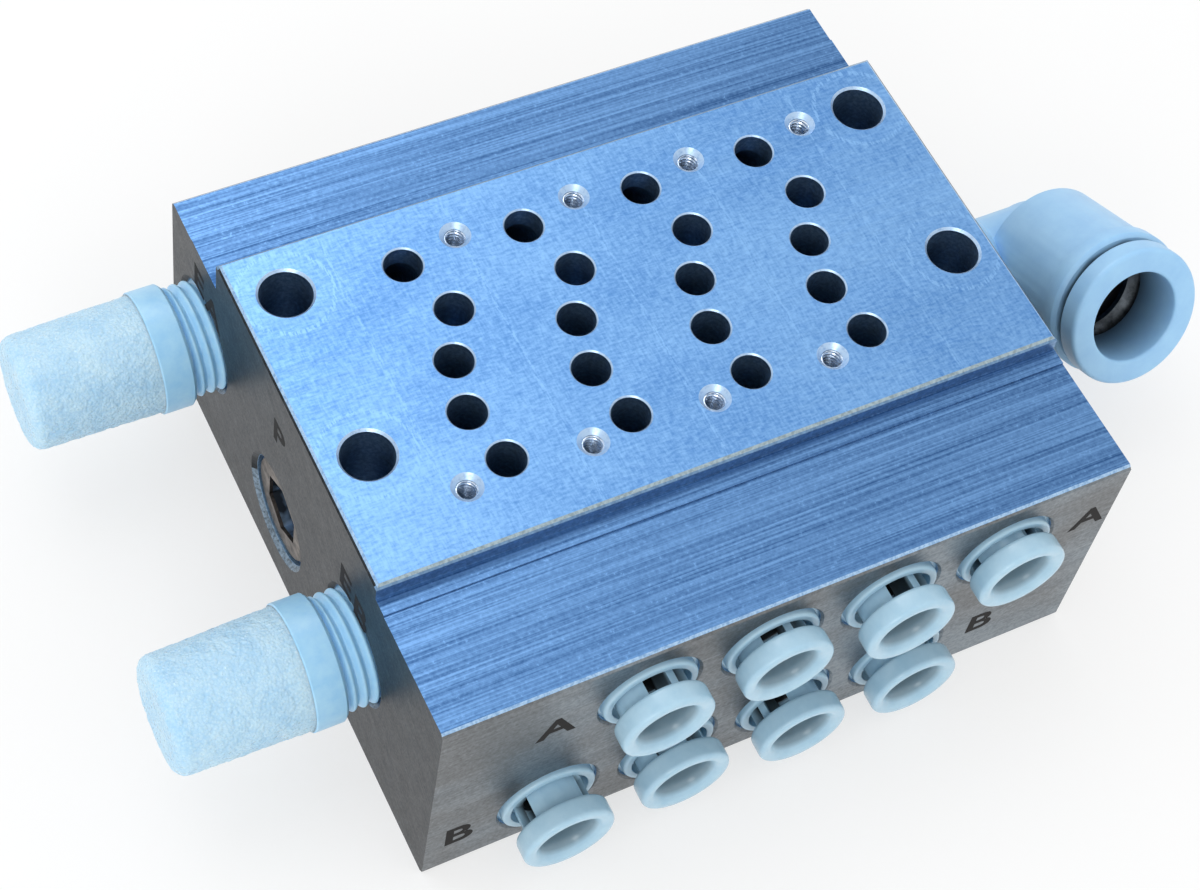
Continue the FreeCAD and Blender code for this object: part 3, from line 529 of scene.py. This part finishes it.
fitting = {
    # each row's place past its station, its height, and how far its rings stand out
    "rowA": (4.0, 17.6, (1.5, 1.0, 1.55, 0.95)), "rowB": (-3.1, 5.3, (2.2, 1.45, 1.5, 1.35)),
    "headLength": 1.85, "headRadius": 3.86, "boreRadius": 2.12,
    "frontRound": 0.8, "backRound": 0.4, "funnelRadius": 2.9, "funnelDepth": 1.0,
    "lipRadius": 3.98, "lipRound": 0.4, "lipBack": -0.5, "lipFront": 0.3, "mouthRadius": 3.3,
    "throatFront": -0.7, "throatBack": -1.7, "throatRadius": 3.0,
    "guideEnd": -6.9, "guideRadius": 4.25, "cavityRadius": 3.5, "softEdgeMm": 0.1,
}
outward = (0.0, -1.0, 0.0)


def neckCopy(centreX, centreZ, headBack):
    seam, boreSide, neckRadius = 0.02, 2.5, 3.2

    def adjust(corners):  # the copied head shrinks out of sight into the turned head; the bore is shaded
        away = corners[:, [0, 2]] - (centreX, centreZ)
        radius = np.linalg.norm(away, axis=1)
        ahead = headBack - corners[:, 1]
        inHead = ahead > seam
        newRadius = np.where(radius > boreSide, radius + 0.2, radius + 0.12)
        newRadius = np.where(inHead, newRadius, radius)
        drawnIn = neckRadius + 0.4 * (radius - neckRadius)
        newRadius = np.where((ahead > -seam) & (radius > neckRadius), drawnIn, newRadius)
        corners[:, [0, 2]] = (centreX, centreZ) + away * (newRadius / radius)[:, None]
        corners[:, 1] += np.where(inHead, 0.12, 0.0)
        return corners, np.where(radius < 2.3, np.where(ahead > -0.1, 0.55, 1.0), 0.0)
    return adjust


def headShade(along, across):  # painted shade: the funnel darkens towards the bore
    return np.clip((2.6 - across) / 0.5, 0, 0.5)


v = fitting
headProfile = [
    (-0.012, v["boreRadius"], 0.0), (-0.012, v["headRadius"], v["backRound"]),
    (v["headLength"], v["headRadius"], v["frontRound"]), (v["headLength"], v["funnelRadius"], 0.6),
    (v["headLength"] - v["funnelDepth"], v["boreRadius"], 0.5)]
guideProfile = [
    (v["guideEnd"], v["cavityRadius"], 0.0), (v["guideEnd"], v["guideRadius"], 0.0),
    (v["lipBack"], v["guideRadius"], 0.0), (v["lipBack"], v["lipRadius"], 0.0),
    (v["lipFront"], v["lipRadius"], v["lipRound"]), (v["lipFront"], v["mouthRadius"], 0.1),
    (v["throatFront"], v["mouthRadius"], 0.05), (v["throatFront"], v["throatRadius"], 0.05),
    (v["throatBack"], v["throatRadius"], 0.05), (v["throatBack"], v["cavityRadius"], 0.0)]
for row in "AB":
    shift, centreZ, stands = v["row" + row]
    for number, out in enumerate(stands, start=1):
        mark = "%s%d" % (row.lower(), number)
        centreX = stationX(number - 1) + shift
        headBack = -block["halfWidth"] - out
        moulded("release_ring_" + mark, "ring_" + mark, ringResin, v["softEdgeMm"],
                neckCopy(centreX, centreZ, headBack))
        turnedPiece("ringHead_" + mark, headProfile, (centreX, headBack, centreZ), outward, "ring_" + mark,
                    ringResin, shade=headShade)
        turnedPiece("guide_" + mark + "_turned", guideProfile, (centreX, -block["halfWidth"], centreZ),
                    outward, "block", ringResin, ("guide_" + mark,))
print("fittings done")


# Elbow: a softened copy of the body and a turned release ring

elbow = {
    "corner": (43.3, 3.75, 8.2), "swivel": 26.9, "softEdgeMm": 0.15,
    "neckBack": 10.3, "neckBore": 4.17, "neckRadius": 4.75, "barbFront": 10.8, "barbRadius": 5.05,
    "headBack": 13.3, "headFront": 15.3, "headRadius": 6.4, "ringRound": 0.45, "edgeRound": 0.3,
}
lift = math.radians(elbow["swivel"])
barrel = np.array((0.0, -math.cos(lift), math.sin(lift)))


def elbowShade(corners):  # the mouth round the release ring is in its own shade
    fromCorner = corners - np.array(elbow["corner"])
    across = np.linalg.norm(np.cross(fromCorner, barrel), axis=1)
    return corners, np.where((across < 6.0) & (fromCorner @ barrel > 3.0), 0.75, 0.0)


def elbowRingShade(along, across):  # painted shade: dark behind the head and where its bore begins
    bore = np.clip((13.9 - along) / 0.6, 0, 0.5) * (across < 4.6)
    return np.where(along < elbow["headBack"] + 0.02, 0.85, bore)


v = elbow
moulded("elbow_body", "elbow", elbowResin, v["softEdgeMm"], elbowShade)
turnedPiece("elbowRing_turned", [
    (v["neckBack"], v["neckBore"], 0.0), (v["neckBack"], v["neckRadius"], 0.0),
    (v["barbFront"], v["barbRadius"], 0.0), (v["barbFront"], v["neckRadius"], 0.0),
    (v["headBack"], v["neckRadius"], 0.0), (v["headBack"], v["headRadius"], v["edgeRound"]),
    (v["headFront"], v["headRadius"], v["ringRound"]), (v["headFront"], v["neckBore"], v["edgeRound"])],
    v["corner"], tuple(barrel), "elbow_ring", elbowResin, ("elbow_release_ring",), 144,
    elbowRingShade)
print("elbow done")


# Threads of the eight screw holes that hold the valves

threads = {
    "screwRadius": 0.866, "screwRelief": 0.13, "screwPitch": 0.4, "screwTop": 25.06, "screwBottom": 18.1,
    "places": (("front", -3.8, -8.95), ("back", 5.0, 12.5)),  # past the station, and across the block
}


def threadSleeve(name, foot, axis, start, end, radius, relief, pitch, material):
    # r(h, a) = R - relief * ridge(h / pitch - a / 2 pi), with a plain outer wall that closes the sleeve
    angles = np.linspace(0, 2 * np.pi, 48, endpoint=False)
    heights = np.linspace(start, end, int((end - start) / pitch * 12))
    phase = heights[None, :] / pitch - angles[:, None] / (2 * np.pi)
    ridge = (0.5 - 0.5 * np.cos(2 * np.pi * phase)) ** 0.7
    inner = radius - relief * ridge - 0.01
    radii = np.concatenate([inner, np.full((len(angles), 2), radius)], axis=1)
    allHeights = np.broadcast_to(np.concatenate([heights, [end, start]]), radii.shape)
    points = roundAxis(allHeights, radii, angles, foot, axis)
    return gridPiece(name, points, "block", material, closedV=True)


v = threads
for number in range(4):
    for label, shift, screwY in v["places"]:
        threadSleeve("screwThread_%s_%d" % (label, number + 1), (stationX(number) + shift, screwY, 0.0),
                     (0.0, 0.0, 1.0), v["screwBottom"], v["screwTop"], v["screwRadius"], v["screwRelief"],
                     v["screwPitch"], screwMetal)
print("threads done")


# Silencers

silencer = {
    "threadRoot": 4.33, "threadRelief": 0.4, "threadPitch": 0.907, "threadIn": -6.4, "threadOut": 2.42,
    "ringRadius": 5.2, "ringStart": 2.5, "ringEnd": 5.2, "boreRadius": 3.0,
    "elementRadius": 5.1, "elementEnd": 16.1, "tipRadius": 4.9, "tipRound": 1.2,
    "granuleMm": 0.36, "granuleReliefMm": 0.16, "swellMm": 0.1, "swellSpanMm": 3.5,
}
endOutward = (-1.0, 0.0, 0.0)


def silencerBody(name, foot, node):
    # A turned profile whose threaded stretch adds relief * ridge(h / pitch - a / 2 pi) to the root radius
    v = silencer
    angles = np.linspace(0, 2 * np.pi, 160, endpoint=False)
    profile = denseProfile([
        (v["threadIn"], v["boreRadius"]), (v["threadIn"], v["threadRoot"]), (v["threadOut"], v["threadRoot"]),
        (v["ringStart"], v["ringRadius"] - 0.25), (v["ringStart"] + 0.25, v["ringRadius"]),
        (v["ringEnd"] - 0.1, v["ringRadius"]), (v["ringEnd"], v["ringRadius"] - 0.1),
        (v["ringEnd"], v["boreRadius"])], 0.075)
    heights, radii = profile[:, 0], profile[:, 1]
    onThread = (heights > v["threadIn"] + 0.02) & (heights < v["threadOut"] - 0.02) & (radii > 4.2)
    fade = np.clip((v["threadOut"] - heights) / 0.35, 0, 1) * onThread
    phase = heights[None, :] / v["threadPitch"] - angles[:, None] / (2 * np.pi)
    ridge = (0.5 - 0.5 * np.cos(2 * np.pi * phase)) ** 0.8
    radii = radii[None, :] + v["threadRelief"] * ridge * fade[None, :]
    points = roundAxis(np.broadcast_to(heights, radii.shape), radii, angles, foot, endOutward)
    return gridPiece(name, points, "block", bodyResin, (node,), closedV=True)


def silencerElement(name, foot, node, seed):
    # A tapered cylinder with a rounded tip, pushed inwards along its normal by two sizes of granule noise
    v = silencer
    angles = np.linspace(0, 2 * np.pi, 340, endpoint=False)
    tip = [(v["elementEnd"] - v["tipRound"] + v["tipRound"] * math.sin(t),
            v["tipRadius"] - v["tipRound"] + v["tipRound"] * math.cos(t))
           for t in np.linspace(0, rightAngle, 12)]
    corners = [(v["ringEnd"], 0.0), (v["ringEnd"], v["elementRadius"])] + tip + [(v["elementEnd"], 0.0)]
    profile = denseProfile(corners, 0.11)
    heights, radii = profile[:, 0], profile[:, 1]
    slope = np.stack([np.gradient(heights), np.gradient(radii)], 1)
    slope /= np.linalg.norm(slope, axis=1)[:, None] + 1e-9
    outH, outR = -slope[:, 1], slope[:, 0]
    still = np.broadcast_to(radii, (len(angles), len(radii)))
    points = roundAxis(np.broadcast_to(heights, still.shape), still, angles, foot, endOutward)
    grains = latticeNoise(points, v["granuleMm"], seed)
    grains = 0.6 * grains + 0.4 * latticeNoise(points, v["granuleMm"] * 0.5, seed + 7)
    swell = latticeNoise(points, v["swellSpanMm"], seed + 13)
    sunk = v["granuleReliefMm"] * (1 - grains) + v["swellMm"] * (1 - swell)
    sunk *= np.clip(radii / 0.6, 0, 1) * (heights > v["ringEnd"] + 0.01)
    newR = np.maximum(still - sunk * outR, 0.0)
    newH = heights - sunk * np.clip(outH, 0, 1)
    points = roundAxis(newH, newR, angles, foot, endOutward)
    return gridPiece(name, points, "block", porous, (node,))


for mark, galleryY, seed in (("ea", 19.35, 3), ("eb", -11.55, 11)):
    foot = (-block["halfLength"], galleryY, block["galleryZ"])
    silencerBody("silencerBody_" + mark, foot, "silencer_body_" + mark)
    silencerElement("silencerElement_" + mark, foot, "silencer_element_" + mark, seed)
print("silencers done")


# Port letters, plain marks burnt into the aluminium

letters = {
    "heightMm": 2.6, "widen": 1.2, "boldMm": 0.09, "proudMm": 0.012, "capitalShare": 0.69,
    "front": (("A", -19.8, 17.6), ("A", 27.4, 17.5), ("B", -26.8, 4.9), ("B", 20.4, 5.1)),
    "end": (("P", 3.75, 19.4), ("E", 20.4, 18.3), ("A", 17.5, 17.9), ("E", -9.3, 18.3), ("B", -12.1, 17.9)),
}


def portLetter(name, text, place, turn):
    curve = bpy.data.curves.new(name, "FONT")
    curve.body = text
    curve.align_x = "CENTER"
    curve.align_y = "CENTER"
    curve.size = letters["heightMm"] * mm / letters["capitalShare"]
    curve.extrude = letters["proudMm"] * mm
    curve.offset = letters["boldMm"] * mm
    holder = bpy.data.objects.new(name + "_curve", curve)
    bpy.context.scene.collection.objects.link(holder)
    bpy.context.view_layer.update()
    mesh = bpy.data.meshes.new_from_object(holder)
    bpy.data.objects.remove(holder)
    widen = Matrix.Diagonal((letters["widen"], 1.0, 1.0, 1.0))
    mesh.transform(Matrix.Translation(Vector(place) * mm) @ turn @ widen)
    mesh.name = name
    return finishPiece(name, mesh, "block", laserMark)


frontTurn = Matrix.Rotation(rightAngle, 4, "X")
endTurn = Matrix.Rotation(-rightAngle, 4, "Z") @ Matrix.Rotation(rightAngle, 4, "X")
for count, (text, letterX, letterZ) in enumerate(letters["front"]):
    portLetter("portLetter_front_%d" % count, text, (letterX, -block["halfWidth"], letterZ), frontTurn)
for count, (text, letterY, letterZ) in enumerate(letters["end"]):
    portLetter("portLetter_end_%d" % count, text, (-block["halfLength"], letterY, letterZ), endTurn)
print("port letters done")


# Floor, light and camera

studio = {
    "floorColour": "#fbfbfa", "floorLift": 0.62, "floorHalf": 1.5, "floorDrop": 2e-5,
    "skyLight": 0.84, "skySeen": 0.88,
    "keyPower": 0.65, "keyPlace": (-0.12, 0.22, 0.52), "keySize": 0.4, "keyColour": "#f4f8ff",
    "windowPower": 1.0, "windowPlace": (-0.05, 0.34, 0.48), "windowSize": 0.3,
    "fillPower": 0.7, "fillPlace": (-0.33, -0.42, 0.36), "fillSize": 0.25,
}


def pale(name, colour, lift):
    # A matt pale floor; seen directly it is lifted towards white, and it keeps the shadow
    material = bpy.data.materials.new(name)
    material.use_nodes = True
    tree = material.node_tree
    tree.nodes.clear()
    matt = addNode(tree, "BsdfDiffuse", {"Color": linearColour(colour)})
    white = addNode(tree, "Emission", {"Color": (1, 1, 1, 1), "Strength": 1.0})
    seen = addNode(tree, "LightPath")
    share = addNode(tree, "Math", {0: seen.outputs["Is Camera Ray"], 1: seen.outputs["Is Glossy Ray"]},
                    operation="MAXIMUM")
    share = addNode(tree, "Math", {0: share, 1: lift}, operation="MULTIPLY")
    mixed = addNode(tree, "MixShader", {0: share, 1: matt, 2: white})
    addNode(tree, "OutputMaterial", {"Surface": mixed})
    return material


floorMesh = bpy.data.meshes.new("floor")
half, drop = studio["floorHalf"], studio["floorDrop"]
floorMesh.from_pydata([(-half, -half, -drop), (half, -half, -drop), (half, half, -drop),
                       (-half, half, -drop)], [], [(0, 1, 2, 3)])
floor = bpy.data.objects.new("floor", floorMesh)
floorMesh.materials.append(pale("paleFloor", studio["floorColour"], studio["floorLift"]))
bpy.context.scene.collection.objects.link(floor)

world = bpy.data.worlds.new("studio")
bpy.context.scene.world = world
world.use_nodes = True
worldTree = world.node_tree
worldTree.nodes.clear()
lightPath = addNode(worldTree, "LightPath")
seenBy = addNode(worldTree, "Math", {0: lightPath.outputs["Is Camera Ray"],
                                               1: lightPath.outputs["Is Glossy Ray"]}, operation="MAXIMUM")
seenBy = addNode(worldTree, "Math", {0: seenBy, 1: lightPath.outputs["Is Transmission Ray"]},
                 operation="MAXIMUM")
strength = addNode(worldTree, "MapRange", {"Value": seenBy, "To Min": studio["skyLight"],
                                                     "To Max": studio["skySeen"]})
sky = addNode(worldTree, "Background", {"Color": (1, 1, 1, 1), "Strength": strength})
addNode(worldTree, "OutputWorld", {"Surface": sky})


def areaLamp(name, power, place, size, colour, mirrored, lights):
    lamp = bpy.data.lights.new(name, "AREA")
    lamp.energy = power
    lamp.size = size
    lamp.color = linearColour(colour)[:3]
    holder = bpy.data.objects.new(name, lamp)
    holder.location = place
    holder.rotation_mode = "QUATERNION"
    holder.rotation_quaternion = (Vector((0, 0, 0.01)) - Vector(place)).to_track_quat("-Z", "Y")
    holder.visible_glossy = mirrored
    holder.visible_diffuse = lights
    bpy.context.scene.collection.objects.link(holder)


for lampName, colour, mirrored, lights in (
        ("key", studio["keyColour"], False, True), ("window", "#ffffff", True, False),
        ("fill", "#ffffff", True, True)):
    areaLamp(lampName + "Lamp", studio[lampName + "Power"], studio[lampName + "Place"],
             studio[lampName + "Size"], colour, mirrored, lights)

viewpoint = {
    "place": (-75.52, -98.02, 197.44), "pixels": 2706.9, "frameWidth": 1200,
    "shiftPixels": (-3, -150),
    "right": (0.88972, -0.44095, 0.11816), "down": (-0.30094, -0.76116, -0.57452),
    "forward": (0.34327, 0.4756, -0.80992),
}
lens = bpy.data.cameras.new("camera")
lens.sensor_width = 36.0
lens.lens = viewpoint["pixels"] / viewpoint["frameWidth"] * lens.sensor_width
lens.shift_x, lens.shift_y = (shift / viewpoint["frameWidth"] for shift in viewpoint["shiftPixels"])
lens.clip_start = 0.01
lens.clip_end = 10.0
camera = bpy.data.objects.new("camera", lens)
axes = Matrix([viewpoint["right"], [-c for c in viewpoint["down"]], [-c for c in viewpoint["forward"]]])
camera.matrix_world = Matrix.Translation(Vector(viewpoint["place"]) * mm) @ axes.transposed().to_4x4()
bpy.context.scene.collection.objects.link(camera)
bpy.context.scene.camera = camera
bpy.context.scene.view_settings.view_transform = "Standard"
print("studio done")
